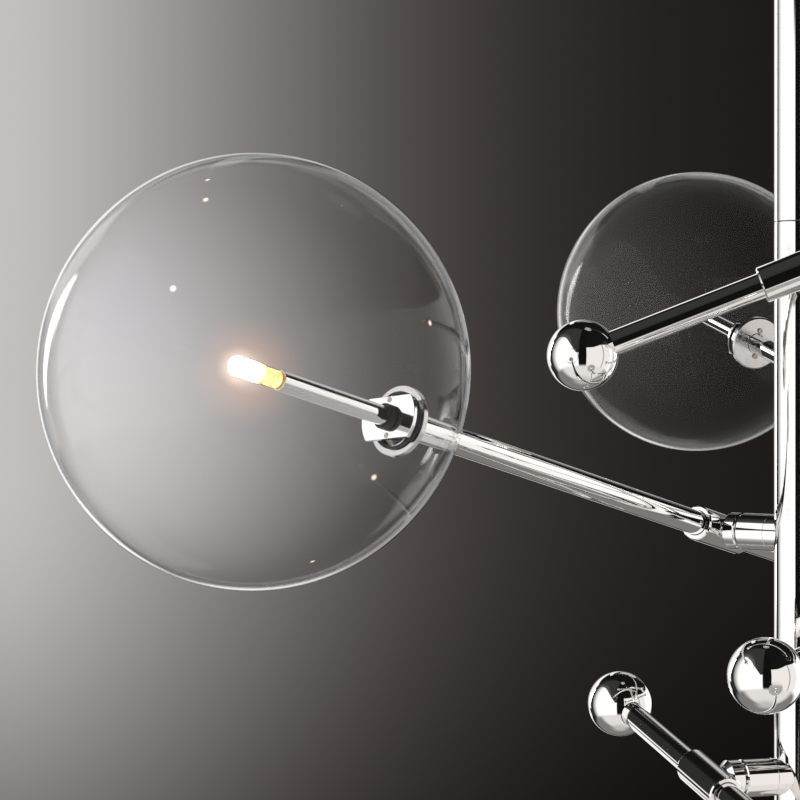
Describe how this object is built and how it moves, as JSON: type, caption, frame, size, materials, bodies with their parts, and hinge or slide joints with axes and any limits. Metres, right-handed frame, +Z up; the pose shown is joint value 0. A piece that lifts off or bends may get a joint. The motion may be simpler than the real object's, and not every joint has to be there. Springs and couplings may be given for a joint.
{
  "type": "globe chandelier",
  "caption": "Polished nickel chandelier: tilting counterweighted arms on a hanging stem, each with a clear glass globe round a capsule bulb.",
  "frame": {"origin": "on the stem's axis where the ceiling bracket's top face meets the ceiling", "axes": "+Z up, along the stem; +Y away from the picture's camera, +X to its right"},
  "size_m": [0.8299, 0.9476, 0.9946],
  "materials": {
    "polished_nickel": "polished, mirror bright, slightly warm",
    "clear_glass": "clear blown glass",
    "bulb_glass": "clear capsule, lit",
    "black_rubber": "matt black",
    "zinc_steel": "zinc plated",
    "white_plastic": "satin white"
  },
  "bodies": {
    "ceiling_mount": {"ceiling_bracket": "zinc_steel", "transformer": "white_plastic", "terminal_block": "white_plastic", "hanging_nipple": "zinc_steel", "canopy": "polished_nickel", "canopy_collar": "polished_nickel", "upper_stem": "polished_nickel", "swivel_spigot": "zinc_steel"},
    "column": {"lower_column": "polished_nickel", "bottom_finial": "polished_nickel", "knuckle_barrel_1": "polished_nickel", "knuckle_barrel_2": "polished_nickel", "knuckle_barrel_3": "polished_nickel", "knuckle_barrel_4": "polished_nickel", "knuckle_barrel_5": "polished_nickel"},
    "arm_1": {"knuckle_head_1": "polished_nickel", "arm_tube_1": "polished_nickel", "counterweight_ball_1": "polished_nickel", "globe_flange_1": "polished_nickel", "flange_gasket_1": "black_rubber", "glass_globe_1": "clear_glass", "globe_strap_1": "polished_nickel", "lamp_tube_1": "polished_nickel", "capsule_bulb_1": "bulb_glass"},
    "arm_2": {"knuckle_head_2": "polished_nickel", "arm_tube_2": "polished_nickel", "counterweight_ball_2": "polished_nickel", "globe_flange_2": "polished_nickel", "flange_gasket_2": "black_rubber", "glass_globe_2": "clear_glass", "globe_strap_2": "polished_nickel", "lamp_tube_2": "polished_nickel", "capsule_bulb_2": "bulb_glass"},
    "arm_3": {"knuckle_head_3": "polished_nickel", "arm_tube_3": "polished_nickel", "counterweight_ball_3": "polished_nickel", "globe_flange_3": "polished_nickel", "flange_gasket_3": "black_rubber", "glass_globe_3": "clear_glass", "globe_strap_3": "polished_nickel", "lamp_tube_3": "polished_nickel", "capsule_bulb_3": "bulb_glass"},
    "arm_4": {"knuckle_head_4": "polished_nickel", "arm_tube_4": "polished_nickel", "counterweight_ball_4": "polished_nickel", "globe_flange_4": "polished_nickel", "flange_gasket_4": "black_rubber", "glass_globe_4": "clear_glass", "globe_strap_4": "polished_nickel", "lamp_tube_4": "polished_nickel", "capsule_bulb_4": "bulb_glass"},
    "arm_5": {"knuckle_head_5": "polished_nickel", "arm_tube_5": "polished_nickel", "counterweight_ball_5": "polished_nickel", "globe_flange_5": "polished_nickel", "flange_gasket_5": "black_rubber", "glass_globe_5": "clear_glass", "globe_strap_5": "polished_nickel", "lamp_tube_5": "polished_nickel", "capsule_bulb_5": "bulb_glass"}
  },
  "joints": [
    {"name": "column_swivel", "type": "hinge", "parent": "ceiling_mount", "child": "column", "pos_m": [0, 0, -0.5011], "axis": [0, 0, 1], "range_deg": [-170, 170]},
    {"name": "arm_1_tilt", "type": "hinge", "parent": "column", "child": "arm_1", "pos_m": [-0.00779, -0.05343, -0.5316], "axis": [-0.1444, -0.9895, 0], "range_deg": [-20, 10]},
    {"name": "arm_2_tilt", "type": "hinge", "parent": "column", "child": "arm_2", "pos_m": [0.0994, 0.03058, -0.6291], "axis": [0.9558, 0.294, 0], "range_deg": [-20, 10]},
    {"name": "arm_3_tilt", "type": "hinge", "parent": "column", "child": "arm_3", "pos_m": [-0.03943, 0.0369, -0.6761], "axis": [-0.7302, 0.6833, 0], "range_deg": [-20, 10]},
    {"name": "arm_4_tilt", "type": "hinge", "parent": "column", "child": "arm_4", "pos_m": [0.04149, -0.03457, -0.7251], "axis": [0.7683, -0.6401, 0], "range_deg": [-20, 10]},
    {"name": "arm_5_tilt", "type": "hinge", "parent": "column", "child": "arm_5", "pos_m": [-0.05124, -0.01705, -0.8116], "axis": [-0.9489, -0.3156, 0], "range_deg": [-20, 10]}
  ]
}
